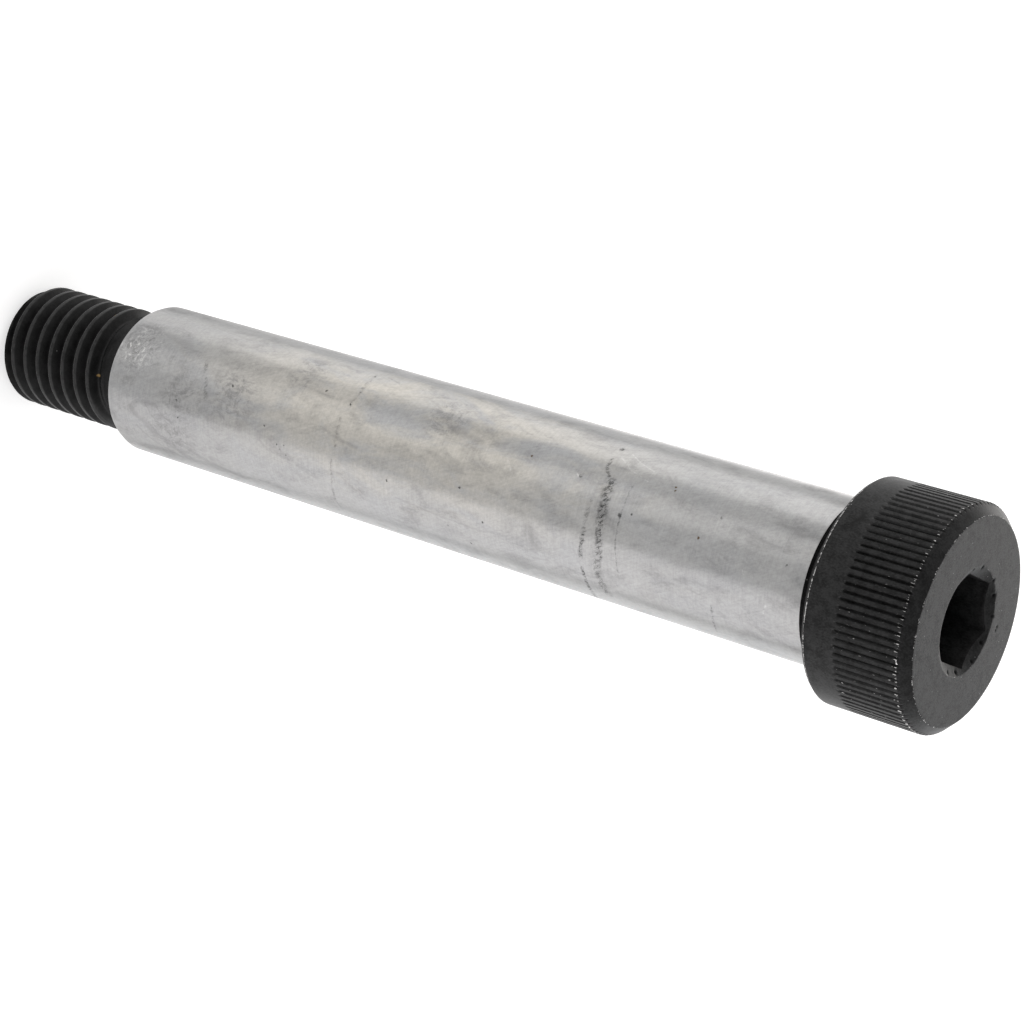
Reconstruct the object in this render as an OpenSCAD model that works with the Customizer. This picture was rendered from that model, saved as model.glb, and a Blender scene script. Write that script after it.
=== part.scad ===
// Socket head shoulder bolt: a ground shoulder, a knurled head with a hex socket, and a threaded end.
// It stands on the end of its thread, with its head up. The origin is on its axis, at that end.

/* [Shoulder] */
// Diameter of the ground shoulder
shoulder_d = 19; // [17:0.1:22]
// Length of the shoulder, from the bearing face under the head to the shoulder's end face
shoulder_len = 104.775; // [60:0.025:160]
// Broken edge at the shoulder's threaded end
shoulder_edge = 0.25; // [0.1:0.05:0.8]
// Width of the relief turned beside the bearing face, where grinding stops
relief_w = 2.1; // [1:0.1:4]
// Depth of that relief below the ground surface
relief_depth = 0.3; // [0.1:0.05:0.8]
// Radius of the fillet between the relief and the bearing face
head_fillet = 0.4; // [0.2:0.05:1]

/* [Head] */
// Diameter over the knurl
head_d = 25.3; // [23:0.1:32]
// Height of the head
head_h = 12.5; // [11:0.1:16]
// Broken edge round the bearing face
head_rim = 0.25; // [0.1:0.05:0.8]
// Chamfer round the top face
head_chamfer = 1.2; // [0.5:0.1:2]
// Smooth band between the bearing face and the knurl
plain_band = 3.75; // [2:0.05:6]

/* [Knurl] */
// Number of grooves round the head
groove_count = 92; // [60:2:110]
// Depth of a groove
groove_depth = 0.3; // [0.15:0.05:0.45]
// Width of a groove at the surface
groove_w = 0.44; // [0.2:0.02:0.6]
// Angle from a corner of the hex to the first groove
groove_turn = 3.1; // [0:0.1:3.9]

/* [Hex socket] */
// Hex size across its flats
hex_size = 9.525; // [8:0.025:11]
// Depth of the flats below the top face
hex_depth = 7.5; // [5:0.1:8]
// Diameter of the countersunk mouth
mouth_d = 11.9; // [11:0.05:14]
// Angle of the countersink, from side to side
mouth_angle = 120; // [90:5:140]
// Point angle of the drilled bottom
drill_angle = 118; // [90:1:140]

/* [Thread] */
// Outside diameter of the thread
thread_d = 15.875; // [14:0.025:18]
// Length from the shoulder's end face to the tip
thread_len = 22.225; // [14:0.025:40]
// Distance from one crest to the next
thread_pitch = 2.309; // [2:0.001:3]
// Angle between the two flanks of a groove
thread_angle = 60; // [50:1:70]
// Width of a crest
crest_w = 0.55; // [0.2:0.05:0.8]
// Depth of a groove below the crests
thread_depth = 1.19; // [0.8:0.01:1.3]
// Distance from the tip to the middle of the first groove
first_groove = 1.83; // [1.5:0.01:2.4]
// Diameter of the neck between shoulder and thread
neck_d = 13.2; // [10:0.1:13.8]
// Width of the neck's floor
neck_w = 3.6; // [1:0.1:7]
// Diameter of the flat end face
tip_d = 12.8; // [9:0.1:13.8]

/* [Hidden] */
// Segments in a full turn of every round face
$fn = 192;
// How far a cutting tool runs past the face that it opens
past = 0.5;
shoulder_end_z = thread_len;
bearing_z = shoulder_end_z + shoulder_len;
top_z = bearing_z + head_h;
head_r = head_d / 2;
shoulder_r = shoulder_d / 2;
relief_r = shoulder_r - relief_depth;
thread_r = thread_d / 2;
neck_r = neck_d / 2;
tip_r = tip_d / 2;
root_r = thread_r - thread_depth;
// Height where the thread ends and its cone to the neck starts
thread_end_z = shoulder_end_z - neck_w - (thread_r - neck_r);
thread_groove_w = thread_pitch - crest_w;
thread_grooves = 1 + floor((thread_end_z - crest_w - thread_groove_w / 2 - first_groove) / thread_pitch);
mouth_r = mouth_d / 2;
// The drill is as wide as the hex is across its flats
drill_r = hex_size / 2;

// Outline of the turned bolt from the thread's end to the top face, as radius and height
function turned_outline() = [
    [0, 0],
    [tip_r, 0],
    [thread_r, thread_r - tip_r],
    [thread_r, thread_end_z],
    [neck_r, shoulder_end_z - neck_w],
    [neck_r, shoulder_end_z],
    [shoulder_r - shoulder_edge, shoulder_end_z],
    [shoulder_r, shoulder_end_z + shoulder_edge],
    [shoulder_r, bearing_z - relief_w],
    [relief_r, bearing_z - relief_w + relief_depth],
    for (a = [0 : 22.5 : 90])
        [relief_r + head_fillet * (1 - cos(a)), bearing_z - head_fillet * (1 - sin(a))],
    [head_r - head_rim, bearing_z],
    [head_r, bearing_z + head_rim],
    [head_r, top_z - head_chamfer],
    [head_r - head_chamfer, top_z],
    [0, top_z]
];

// Grooves of the thread, as rings one pitch apart
module thread_rings() {
    flank = thread_depth * tan(thread_angle / 2);
    flank_past = past * tan(thread_angle / 2);
    for (i = [0 : thread_grooves - 1])
        translate([0, 0, first_groove + i * thread_pitch])
            rotate_extrude()
                polygon([
                    [root_r, flank - thread_groove_w / 2],
                    [thread_r + past, -thread_groove_w / 2 - flank_past],
                    [thread_r + past, thread_groove_w / 2 + flank_past],
                    [root_r, thread_groove_w / 2 - flank]
                ]);
}

// One straight knurl groove on the side where the angle is zero, open at the top face
module groove() {
    length = head_h - plain_band + past;
    translate([head_r, 0, bearing_z + plain_band])
        linear_extrude(length)
            polygon([
                [-groove_depth, 0],
                [0, -groove_w / 2],
                [past, -groove_w / 2],
                [past, groove_w / 2],
                [0, groove_w / 2]
            ]);
}

module knurl() {
    for (i = [0 : groove_count - 1])
        rotate([0, 0, groove_turn + i * 360 / groove_count])
            groove();
}

// Hexagonal hole with a countersunk mouth and a drilled, pointed bottom
module hex_socket() {
    drill_point = drill_r / tan(drill_angle / 2);
    sink_depth = mouth_r / tan(mouth_angle / 2);
    sink_past = past / tan(mouth_angle / 2);
    translate([0, 0, top_z - hex_depth])
        cylinder(r = hex_size / 2 / cos(30), h = hex_depth + past, $fn = 6);
    translate([0, 0, top_z - hex_depth - drill_point])
        cylinder(r1 = 0, r2 = drill_r, h = drill_point);
    translate([0, 0, top_z - sink_depth])
        cylinder(r1 = 0, r2 = mouth_r + past, h = sink_depth + sink_past);
}

// The whole bolt is one piece of steel
module shoulder_bolt() {
    color("dimgray")
        difference() {
            rotate_extrude()
                polygon(turned_outline());
            thread_rings();
            knurl();
            hex_socket();
        }
}

shoulder_bolt();
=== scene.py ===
# %% [markdown]
# # A socket head shoulder bolt
#
# This lesson dresses one steel bolt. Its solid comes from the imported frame: one turned body that stands
# on the end of its thread, with the head up. Here it gets what a lathe, a knurling wheel, a die, a
# grinder and a rough life leave on it: a real thread, rounded edges, worn blacking, pits and scuffs.
#
# The bolt is drawn as three closed skins that meet where the finish changes: the blackened head, the
# ground shoulder and the blackened thread. With three, each grid of points stays simple.

import bpy
import numpy as np
from mathutils import Matrix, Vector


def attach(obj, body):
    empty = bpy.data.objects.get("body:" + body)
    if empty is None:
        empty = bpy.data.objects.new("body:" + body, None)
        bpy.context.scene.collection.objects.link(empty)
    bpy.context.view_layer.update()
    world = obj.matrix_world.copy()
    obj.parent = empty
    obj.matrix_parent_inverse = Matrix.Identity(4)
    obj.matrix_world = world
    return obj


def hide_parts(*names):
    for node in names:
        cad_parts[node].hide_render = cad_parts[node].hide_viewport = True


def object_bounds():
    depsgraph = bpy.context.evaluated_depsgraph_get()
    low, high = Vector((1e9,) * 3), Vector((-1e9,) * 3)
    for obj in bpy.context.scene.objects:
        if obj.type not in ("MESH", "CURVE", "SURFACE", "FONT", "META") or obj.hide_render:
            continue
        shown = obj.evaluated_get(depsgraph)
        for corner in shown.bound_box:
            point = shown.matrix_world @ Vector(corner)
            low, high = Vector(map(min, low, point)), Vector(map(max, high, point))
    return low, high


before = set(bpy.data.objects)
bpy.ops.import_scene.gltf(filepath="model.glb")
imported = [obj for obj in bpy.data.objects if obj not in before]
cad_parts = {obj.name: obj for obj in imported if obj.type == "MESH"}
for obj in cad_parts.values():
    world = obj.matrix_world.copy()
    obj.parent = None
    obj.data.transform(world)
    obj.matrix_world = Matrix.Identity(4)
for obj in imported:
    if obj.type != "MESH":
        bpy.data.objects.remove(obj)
cad_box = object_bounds()
print("the solid's box in metres:", [round(x, 5) for x in (*cad_box[0], *cad_box[1])])

# %% [markdown]
# ## Sizes
#
# Every size is in millimetres, as on a workshop drawing, and goes to metres only when a mesh is made.
# Heights count from the flat end of the thread. The head's radius and top come from the solid's box,
# and the rest is measured from there with the solid's own sizes. So the skins lie on the solid, and the
# bolt can't grow or shift in its new clothes.

# %% Sizes of the bolt
HEAD_R, HEAD_TOP = (round(1000 * float(cad_box[1][axis]), 3) for axis in (0, 2))
SEAT = HEAD_TOP - 12.5
SHOULDER_R, SHOULDER_FOOT = 9.5, SEAT - 104.775
RELIEF_START, RELIEF_DEPTH, FILLET_R = SEAT - 2.1, 0.3, 0.4
RELIEF_R, RELIEF_FLOOR = SHOULDER_R - RELIEF_DEPTH, RELIEF_START + RELIEF_DEPTH
RIM, CHAMFER, KNURL_START = 0.25, 1.2, SEAT + 3.75
FACE_R = HEAD_R - CHAMFER
GROOVES, GROOVE_DEPTH, GROOVE_HALF_WIDTH, FIRST_GROOVE = 92, 0.3, 0.22, 3.1
HEX_HALF, HEX_FLOOR = 4.7625, HEAD_TOP - 7.5
MOUTH_R, MOUTH_SLOPE, DRILL_SLOPE = 5.95, np.tan(np.radians(30)), np.tan(np.radians(31))
DRILL_TIP = HEX_FLOOR - HEX_HALF * DRILL_SLOPE
TIP_R, NECK_R, THREAD_R = 6.4, 6.6, 7.9375
THREAD_END = SHOULDER_FOOT - 3.6 - (THREAD_R - NECK_R)
CREST_R, ROOT_R, PITCH, FIRST_CREST = 7.93, 6.75, 25.4 / 11, 1.432
print(f"head {2 * HEAD_R:.1f} mm wide, thread pitch {PITCH:.3f} mm, {GROOVES} grooves in the knurl")

# %% [markdown]
# ## A skin from rings
#
# Anything turned can be drawn as rings stacked along the axis, like hoops. If every ring has the same
# number of points, the skin between two rings is a strip of quads, and one array of shape
# (rings, points, 3) holds it all. Numpy then makes a whole surface at once, with no loop over points.
# The rings run from the axis at the bottom outwards, up, and back in to the axis at the top. In that
# order every face points away from the metal.


# %% Faces between rings
def turned(radius, height, angle):
    """Cylinder coordinates to x, y, z: radius times the angle's cosine and sine, and the height."""
    radius, height, angle = np.broadcast_arrays(radius, height, angle)
    return np.stack([radius * np.cos(angle), radius * np.sin(angle), height], axis=-1)


def strip_quads(rings, count, first=0):
    """Quads between neighbouring rings: point j of ring i, point j + 1, and the two above them."""
    i, j = np.meshgrid(np.arange(rings - 1), np.arange(count), indexing="ij")
    here, after = first + i * count + j, first + i * count + (j + 1) % count
    return np.stack([here, after, after + count, here + count], axis=-1).reshape(-1, 4)


def pole_fan(ring_first, count, pole, upward):
    """A fan of triangles that closes a ring on one point of the axis."""
    j = np.arange(count)
    here, after = ring_first + j, ring_first + (j + 1) % count
    middle = np.full(count, pole)
    return np.stack([here, after, middle] if upward else [middle, after, here], axis=-1)


# %% Put arrays into a mesh
def make_piece(name, points_mm, quads, triangles, marks, looks=None):
    """A mesh at the origin, in metres. Marks are numbers on its points, looks are numbers on its faces."""
    mesh = bpy.data.meshes.new(name)
    corners = np.concatenate([quads.ravel(), triangles.ravel()]).astype(np.int32)
    starts = np.concatenate([np.arange(len(quads)) * 4, len(quads) * 4 + np.arange(len(triangles)) * 3])
    mesh.vertices.add(len(points_mm))
    mesh.vertices.foreach_set("co", (points_mm * 0.001).astype(np.float32).ravel())
    mesh.loops.add(len(corners))
    mesh.loops.foreach_set("vertex_index", corners)
    mesh.polygons.add(len(starts))
    mesh.polygons.foreach_set("loop_start", starts.astype(np.int32))
    if looks is not None:
        mesh.polygons.foreach_set("material_index", looks.astype(np.int32))
    for key, values in marks.items():
        mark = mesh.attributes.new(key, "FLOAT", "POINT")
        mark.data.foreach_set("value", values.astype(np.float32).ravel())
    mesh.update(calc_edges=True)
    mesh.validate()
    mesh.shade_smooth()
    piece = bpy.data.objects.new(name, mesh)
    bpy.context.scene.collection.objects.link(piece)
    print(f"{name}: {len(points_mm)} points, {2 * len(quads) + len(triangles)} triangles")
    return piece


# %% [markdown]
# ## Broken edges
#
# No edge on a real bolt is a perfect line: it is broken with a file or wears round, and that thin round
# is what catches the light. A Bevel modifier could do it, but in an outline it is simpler to swap each
# sharp corner for a small arc that touches both of its legs.


# %% An arc in place of a corner
def soft_corner(before, corner, after, radius, steps=4):
    """An arc that touches both legs. Its centre is on the bisector, at radius / sine of half the angle."""
    before, corner, after = map(np.array, (before, corner, after))
    one, two = ((leg - corner) / np.linalg.norm(leg - corner) for leg in (before, after))
    half = np.arccos(np.clip(one @ two, -1, 1)) / 2
    centre = corner + (one + two) / np.linalg.norm(one + two) * radius / np.sin(half)
    start = corner + one * radius / np.tan(half) - centre
    turn = np.pi - 2 * half
    turn *= np.sign(start[0] * two[1] - start[1] * two[0])
    angles = np.arctan2(start[1], start[0]) + np.linspace(0, turn, steps + 1)
    return centre + radius * np.stack([np.cos(angles), np.sin(angles)], axis=-1)


def bell(value, middle, width):
    """One at the middle, falling smoothly to nothing a few widths away."""
    return np.exp(-(((value - middle) / width) ** 2))


def rise(value, low, high):
    """A smooth step from nought at low to one at high."""
    share = np.clip((value - low) / (high - low), 0, 1)
    return share * share * (3 - 2 * share)


# %% [markdown]
# ## The head, outside
#
# The knurl is 92 straight V grooves, rolled into the head so that fingers can turn it. Twelve points
# to each groove are enough if they crowd where the V starts and at its bottom. The same columns of
# points run over the whole outside of the head. Where the outline passes a groove, the skin is the
# lower of the two, so the chamfer cuts the grooves off in small scallops, just as the lathe does.

# %% Columns of points round the head
GROOVE_SHARES = np.array([-0.50, -0.40, -0.31, -0.265, -0.215, -0.10, 0, 0.10, 0.215, 0.265, 0.31, 0.40])
COLUMNS = GROOVES * len(GROOVE_SHARES)
groove_turn = 2 * np.pi / GROOVES
in_grooves = np.arange(GROOVES)[:, None] + GROOVE_SHARES
head_angle = (np.radians(FIRST_GROOVE) + groove_turn * in_grooves).ravel()
half_width_share = GROOVE_HALF_WIDTH / (groove_turn * HEAD_R)
groove_share = np.tile(np.clip(1 - np.abs(GROOVE_SHARES) / half_width_share, 0, 0.94), GROOVES)
draws = np.random.default_rng(7)
groove_shift = np.repeat(draws.uniform(-0.09, 0.09, GROOVES), len(GROOVE_SHARES))
groove_force = np.repeat(draws.uniform(0.86, 1.0, GROOVES), len(GROOVE_SHARES))
print(f"{COLUMNS} columns, one groove every {groove_turn * HEAD_R:.3f} mm")

# %% Outline of the head's outside, from the shoulder's edge to the top face
relief_corner, seat_corner, rim_corner = (RELIEF_R, RELIEF_FLOOR), (RELIEF_R, SEAT), (HEAD_R, SEAT)
chamfer_foot, chamfer_top = (HEAD_R, HEAD_TOP - CHAMFER), (FACE_R, HEAD_TOP)
up_side = (0.33, 0.45, 0.7, 1.5, 2.3, 3.1, 3.55, 3.7, 3.82, 3.95, 4.1)
on_side = [(HEAD_R, SEAT + up) for up in up_side]
on_knurl = [(HEAD_R, z) for z in np.linspace(SEAT + 5.0, SEAT + 10.8, 7)]
on_chamfer = [(HEAD_R - drop, HEAD_TOP - CHAMFER + drop) for drop in (0.2, 0.3, 0.5, 0.75, 1.0)]
ground_edge = (SHOULDER_R - 0.01, RELIEF_START)
outline = np.array([
    ground_edge, *soft_corner(ground_edge, relief_corner, seat_corner, 0.08),
    *soft_corner(relief_corner, seat_corner, rim_corner, FILLET_R, 6), (10.5, SEAT), (11.6, SEAT),
    *soft_corner(seat_corner, rim_corner, chamfer_foot, RIM, 6), *on_side, *on_knurl,
    *soft_corner(rim_corner, chamfer_foot, chamfer_top, 0.25, 4), *on_chamfer,
    *soft_corner(chamfer_foot, chamfer_top, (0, HEAD_TOP), 0.20, 4), (11.24, HEAD_TOP),
])
ring_r, ring_z = outline[:, 0, None], outline[:, 1, None]
knurled = rise(ring_z, KNURL_START - 0.1, KNURL_START + 0.3)
outer_z = ring_z + groove_shift * bell(ring_z, KNURL_START + 0.1, 0.35)
groove_bottom = HEAD_R - GROOVE_DEPTH * groove_share * groove_force * knurled
outer_r = np.where(ring_z > SEAT + RIM, np.minimum(ring_r, groove_bottom), ring_r)
outer_points = turned(outer_r, outer_z, head_angle)
print("outside of the head:", len(outline), "rings")

# %% [markdown]
# ## The head, top face and socket
#
# Inside the chamfer nothing is as fine as the knurl, so half as many columns do. They are evenly
# spaced, and six of them run exactly down the corners of the hex. The countersink is a cone and the
# flats are planes, so the cone reaches further down in the middle of a flat than at a corner. That
# gives the scalloped edge that every such socket has, and it comes out by itself when each ring is a
# share of the way from the round mouth to the hex outline.

# %% Rings of the top face and the socket
INNER, LIP_R = COLUMNS // 2, MOUTH_R - 0.05
inner_angle = 2 * np.pi * np.arange(INNER) / INNER
to_corner = np.abs((inner_angle + np.pi / 6) % (np.pi / 3) - np.pi / 6)
hex_r = np.minimum(HEX_HALF / np.cos(np.pi / 6 - to_corner), 5.47)
face_r = np.concatenate([np.linspace(11.1, 6.2, 40), [6.08, 6.0]])
face = turned(face_r[:, None], HEAD_TOP, inner_angle)
lip_r, lip_drop = np.array([[MOUTH_R + 0.005], [LIP_R]]), np.array([[0.007], [0.032]])
lip = turned(lip_r, HEAD_TOP - lip_drop, inner_angle)
sink_share = np.array([0.12, 0.28, 0.44, 0.6, 0.76, 0.9, 0.98])[:, None]
sink_r = LIP_R + sink_share * (hex_r - LIP_R)
sink = turned(sink_r, HEAD_TOP - (MOUTH_R - sink_r) * MOUTH_SLOPE, inner_angle)
sink_edge = HEAD_TOP - (MOUTH_R - hex_r) * MOUTH_SLOPE
wall_share = np.array([0.012, 0.04, 0.12, 0.3, 0.5, 0.7, 0.9, 1.0])[:, None]
wall = turned(hex_r, sink_edge + wall_share * (HEX_FLOOR - sink_edge), inner_angle)
floor_r = np.array([HEX_HALF, 3.5, 2.0, 0.8])[:, None]
drilled = turned(floor_r, HEX_FLOOR - (HEX_HALF - floor_r) * DRILL_SLOPE, inner_angle)
inner_points = np.concatenate([face, lip, sink, wall, drilled])
print("countersink", round(HEAD_TOP - sink_edge.min(), 2), "mm deep in the middle of a flat")

# %% [markdown]
# ## Dents round the socket
#
# A dozen dark pits show on the head, most of them at the mouth, where a key has slipped. A pit is a
# small bowl: each point near its middle sinks by a bell curve of the distance. All points and all pits
# together are one array of distances, so no loop is needed. Real dents have a shape from every side,
# which a painted spot would not.

# %% Pits at the mouth and on the face
PITS = np.array([  # angle in degrees, radius, half width and depth in mm
    (174.9, 5.82, 0.20, 0.10), (156.3, 5.92, 0.22, 0.10), (100.3, 5.83, 0.24, 0.14),
    (76.2, 5.91, 0.22, 0.12), (45.3, 5.57, 0.24, 0.14), (20.1, 5.72, 0.22, 0.12),
    (-13.9, 5.57, 0.24, 0.14), (-34.5, 5.64, 0.22, 0.12), (66.3, 7.48, 0.20, 0.06),
    (63.0, 7.37, 0.16, 0.05), (120.0, 5.98, 0.18, 0.09), (-74.1, 5.81, 0.20, 0.10),
])
PIT_REACH = 0.9
pit_at = turned(PITS[:, 1], HEAD_TOP, np.radians(PITS[:, 0]))[:, :2]
away = np.linalg.norm(inner_points[:, :, None, :2] - pit_at, axis=-1)
bowl = bell(away, 0, PITS[:, 2]) * (inner_points[:, :, None, 2] > HEAD_TOP - PIT_REACH)
sunk = (bowl * PITS[:, 3]).sum(-1)
inner_points[..., 2] -= sunk
print("deepest dent:", round(float(sunk.max()), 3), "mm")

# %% [markdown]
# ## Join the two halves of the head
#
# The outside has twice as many columns as the inside. On the flat face one inner edge meets two outer
# ones, which takes three triangles. The underside is closed by a disc that lies inside the bolt, so
# the skin is watertight and can be saved as a solid body.

# %% Faces of the head
start = int(np.argmin(np.abs((head_angle + np.pi) % (2 * np.pi) - np.pi)))
outer_count, inner_count = outer_points.shape[0], inner_points.shape[0]
outer_last, inner_first = (outer_count - 1) * COLUMNS, outer_count * COLUMNS
j = np.arange(INNER)
near, mid, far = (outer_last + (start + 2 * j + k) % COLUMNS for k in range(3))
here, after = inner_first + j, inner_first + (j + 1) % INNER
three = (near, mid, here), (mid, after, here), (mid, far, after)
join = np.concatenate([np.stack(corners, axis=-1) for corners in three])
inner_last = inner_first + (inner_count - 1) * INNER
bottom_pole, socket_pole = inner_last + INNER, inner_last + INNER + 1
head_points = np.concatenate([
    outer_points.reshape(-1, 3), inner_points.reshape(-1, 3), [(0, 0, RELIEF_START), (0, 0, DRILL_TIP)],
])
outer_quads = strip_quads(outer_count, COLUMNS)
head_quads = np.concatenate([outer_quads, strip_quads(inner_count, INNER, inner_first)])
head_triangles = np.concatenate([
    join, pole_fan(0, COLUMNS, bottom_pole, False), pole_fan(inner_last, INNER, socket_pole, True),
])

# %% [markdown]
# ## Which look each face has
#
# Blacking looks different on the knurled side, on the turned face and down the socket, so the head's
# faces are numbered by look. The points also carry two numbers for the materials: how exposed they are
# to wear, and how deep they lie in a pit. Wear is high on convex edges, where blacking rubs off first,
# and on this bolt the ends of the knurl are rubbed most on one side.

# %% Looks and wear of the head
SIDE, FACE, SOCKET, CUT = 0, 1, 2, 3
RUBBED_SIDE = np.radians(-75)
FACE_ROWS, CHAMFER_ROWS = 3, 8
face_rings, cone_rings = len(face_r) + 1, len(sink_share) + 1
socket_rings = inner_count - 1 - face_rings - cone_rings
ring_look = np.repeat([FACE, CUT, SOCKET], [face_rings, cone_rings, socket_rings])
side_rows = outer_count - 1 - FACE_ROWS - CHAMFER_ROWS
outer_look = np.repeat([SIDE, CUT, FACE], [side_rows, CHAMFER_ROWS, FACE_ROWS])
looks = np.concatenate([
    np.repeat(outer_look, COLUMNS), np.repeat(ring_look, INNER),
    np.full(len(join), FACE), np.full(COLUMNS, SIDE), np.full(INNER, SOCKET),
])
rubbed = 0.5 + 0.5 * np.cos(head_angle - RUBBED_SIDE)
rim_wear = bell(outer_z, SEAT + RIM + 0.04, 0.09) * (outer_r > HEAD_R - 0.35)
crest_share = np.where(groove_share > 0, np.clip(1 - 2.2 * groove_share, 0, 1), 0.5)
end_wear = bell(outer_z, HEAD_TOP - CHAMFER - 0.03, 0.24) * crest_share * (0.45 + 0.60 * rubbed)
on_grooves = (outer_z > KNURL_START) & (outer_z < HEAD_TOP - CHAMFER)
edge_wear = on_grooves * (groove_share > 0.02) * (groove_share < 0.35) * (0.32 + 0.18 * rubbed)
top_wear = bell(outer_z, HEAD_TOP - 0.03, 0.05) * 0.6 * (outer_r > 11)
outer_wear = np.clip(rim_wear + end_wear + edge_wear + top_wear, 0, 1)
from_axis = np.linalg.norm(inner_points[..., :2], axis=-1)
lip_wear = bell(from_axis, MOUTH_R, 0.06) * (inner_points[..., 2] > HEAD_TOP - 0.2) * 0.6
in_pit = np.clip(bowl.sum(-1), 0, 1)
at_poles = np.zeros(2)
head = make_piece("bolt_head", head_points, head_quads, head_triangles, {
    "wear": np.concatenate([outer_wear.ravel(), lip_wear.ravel(), at_poles]),
    "pit": np.concatenate([np.zeros(outer_wear.size), in_pit.ravel(), at_poles]),
}, looks)

# %% [markdown]
# ## The shoulder
#
# The shoulder is what the bolt is for: a cylinder ground round and smooth, on which a wheel or a lever
# turns. Its skin is plain. What matters are the two ends: a broken edge towards the thread, and a crisp
# one where the grinding stops at the relief.

# %% Rings of the shoulder
ROUND, END_FACE_R = 288, 8.0
ring_angle = 2 * np.pi * np.arange(ROUND) / ROUND
foot_inner, foot_corner = (END_FACE_R, SHOULDER_FOOT), (SHOULDER_R, SHOULDER_FOOT)
top_inner, top_corner = (END_FACE_R, RELIEF_START), (SHOULDER_R, RELIEF_START)
shoulder_outline = np.array([
    foot_inner, *soft_corner(foot_inner, foot_corner, top_corner, 0.28, 6),
    *[(SHOULDER_R, z) for z in np.linspace(SHOULDER_FOOT + 0.675, RELIEF_START - 0.3, 90)],
    *soft_corner(foot_corner, top_corner, top_inner, 0.03, 3), (6.0, RELIEF_START),
])
shoulder_rings = turned(shoulder_outline[:, 0, None], shoulder_outline[:, 1, None], ring_angle)
rows = len(shoulder_outline)
poles = rows * ROUND + np.arange(2)
shoulder_poles = [(0, 0, SHOULDER_FOOT), (0, 0, RELIEF_START)]
shoulder_points = np.concatenate([shoulder_rings.reshape(-1, 3), shoulder_poles])
shoulder_quads = strip_quads(rows, ROUND)
shoulder_triangles = np.concatenate([
    pole_fan(0, ROUND, poles[0], False), pole_fan((rows - 1) * ROUND, ROUND, poles[1], True),
])
GROUND, BLACK_END, BLACK_ROWS = 0, 1, 2
quad_look = np.repeat(np.where(np.arange(rows - 1) < BLACK_ROWS, BLACK_END, GROUND), ROUND)
shoulder_looks = np.concatenate([quad_look, np.full(ROUND, BLACK_END), np.full(ROUND, GROUND)])
shoulder = make_piece("bolt_shoulder", shoulder_points, shoulder_quads, shoulder_triangles,
                      {"wear": bell(shoulder_points[:, 2], SHOULDER_FOOT + 0.2, 0.10)}, shoulder_looks)

# %% [markdown]
# ## The thread
#
# A thread is one V groove that climbs by its pitch in each turn. The solid has it as plain rings, which
# is enough to hold and to measure. Here it becomes the real right-hand helix. The grid of points is the
# same as before, except that each column sits a little higher than the one before it, and after a full
# turn the last column meets the first one pitch further up. The depth at a point follows from its
# distance to the nearest crest: a flat crest, a 60 degree flank and a rounded root.

# %% Profile of the thread
CREST_HALF, ROOT_ROUND = 0.27, 0.10
FLANK_SLOPE = np.tan(np.radians(60))


def thread_radius(from_crest):
    """Crest radius less the flank's fall, with a smooth maximum against the root's radius."""
    flank = CREST_R - (np.abs(from_crest) - CREST_HALF) * FLANK_SLOPE
    rooted = ROOT_R + ROOT_ROUND * np.logaddexp(0, (flank - ROOT_R) / ROOT_ROUND)
    return np.minimum(rooted, CREST_R) - 0.02 * bell(np.abs(from_crest), CREST_HALF, 0.05)


# %% Helix of points
THREAD_TOP, TURN_POINTS = 20.5, 216
half_steps = np.array([
    0, 0.14, 0.20, 0.24, 0.275, 0.31, 0.36, 0.45, 0.56, 0.68, 0.80, 0.88, 0.95, 1.02, 1.09,
])
steps = np.concatenate([half_steps, PITCH - half_steps[:0:-1]])
thread_angle = 2 * np.pi * np.arange(TURN_POINTS) / TURN_POINTS
climb = PITCH * thread_angle / (2 * np.pi)
turns = np.arange(-2, 10)[:, None]
height = (FIRST_CREST + PITCH * turns + steps).reshape(-1, 1) + climb
held = np.clip(height, 0, THREAD_TOP)
from_crest = (held - FIRST_CREST - climb + PITCH / 2) % PITCH - PITCH / 2
neck_cone = np.maximum(NECK_R, THREAD_R - (held - THREAD_END))
thread_r = np.minimum(np.minimum(thread_radius(from_crest), TIP_R + held), neck_cone)
helix_points = turned(thread_r, held, thread_angle)
print("thread grid:", helix_points.shape[:2], "points up and round")

# %% [markdown]
# ## Close the helix
#
# Rows of the helix that would run past the tip or into the neck are held at that height, where they
# fall together. Numbering those points as one ring welds them: quads that lose a side become
# triangles, and quads that lose both are dropped. The seam needs no weld, because the last column is
# joined to the first one a pitch further up. A few plain rings, stored after the grid, and two discs
# close the tip and the neck.

# %% Weld the ends and turn to the next pitch at the seam
grid_rows, row_step = helix_points.shape[0], len(steps)
grid_size = grid_rows * TURN_POINTS
ring_firsts = grid_size + TURN_POINTS * np.arange(6)
tip_inner, tip_edge, neck_foot = ring_firsts[:3]
neck_top, tip_pole = ring_firsts[4:]
ids = np.arange(grid_size).reshape(grid_rows, TURN_POINTS)
column = np.broadcast_to(np.arange(TURN_POINTS), ids.shape)
ids = np.where(height <= 0, tip_edge + column, ids)
ids = np.where(height >= THREAD_TOP, neck_foot + column, ids)
base = ids[: grid_rows - row_step]
beside = np.concatenate([base[:, 1:], ids[row_step:, :1]], axis=1)
grid_quads = np.stack([base[:-1], beside[:-1], beside[1:], base[1:]], axis=-1).reshape(-1, 4)
left_flat, right_flat = grid_quads[:, 0] == grid_quads[:, 3], grid_quads[:, 1] == grid_quads[:, 2]
slivers = np.concatenate([
    grid_quads[left_flat & ~right_flat][:, [0, 1, 2]], grid_quads[~left_flat & right_flat][:, [0, 1, 3]],
])
grid_quads = grid_quads[~left_flat & ~right_flat]
print(len(grid_quads), "quads and", len(slivers), "triangles at the welded ends")

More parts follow.
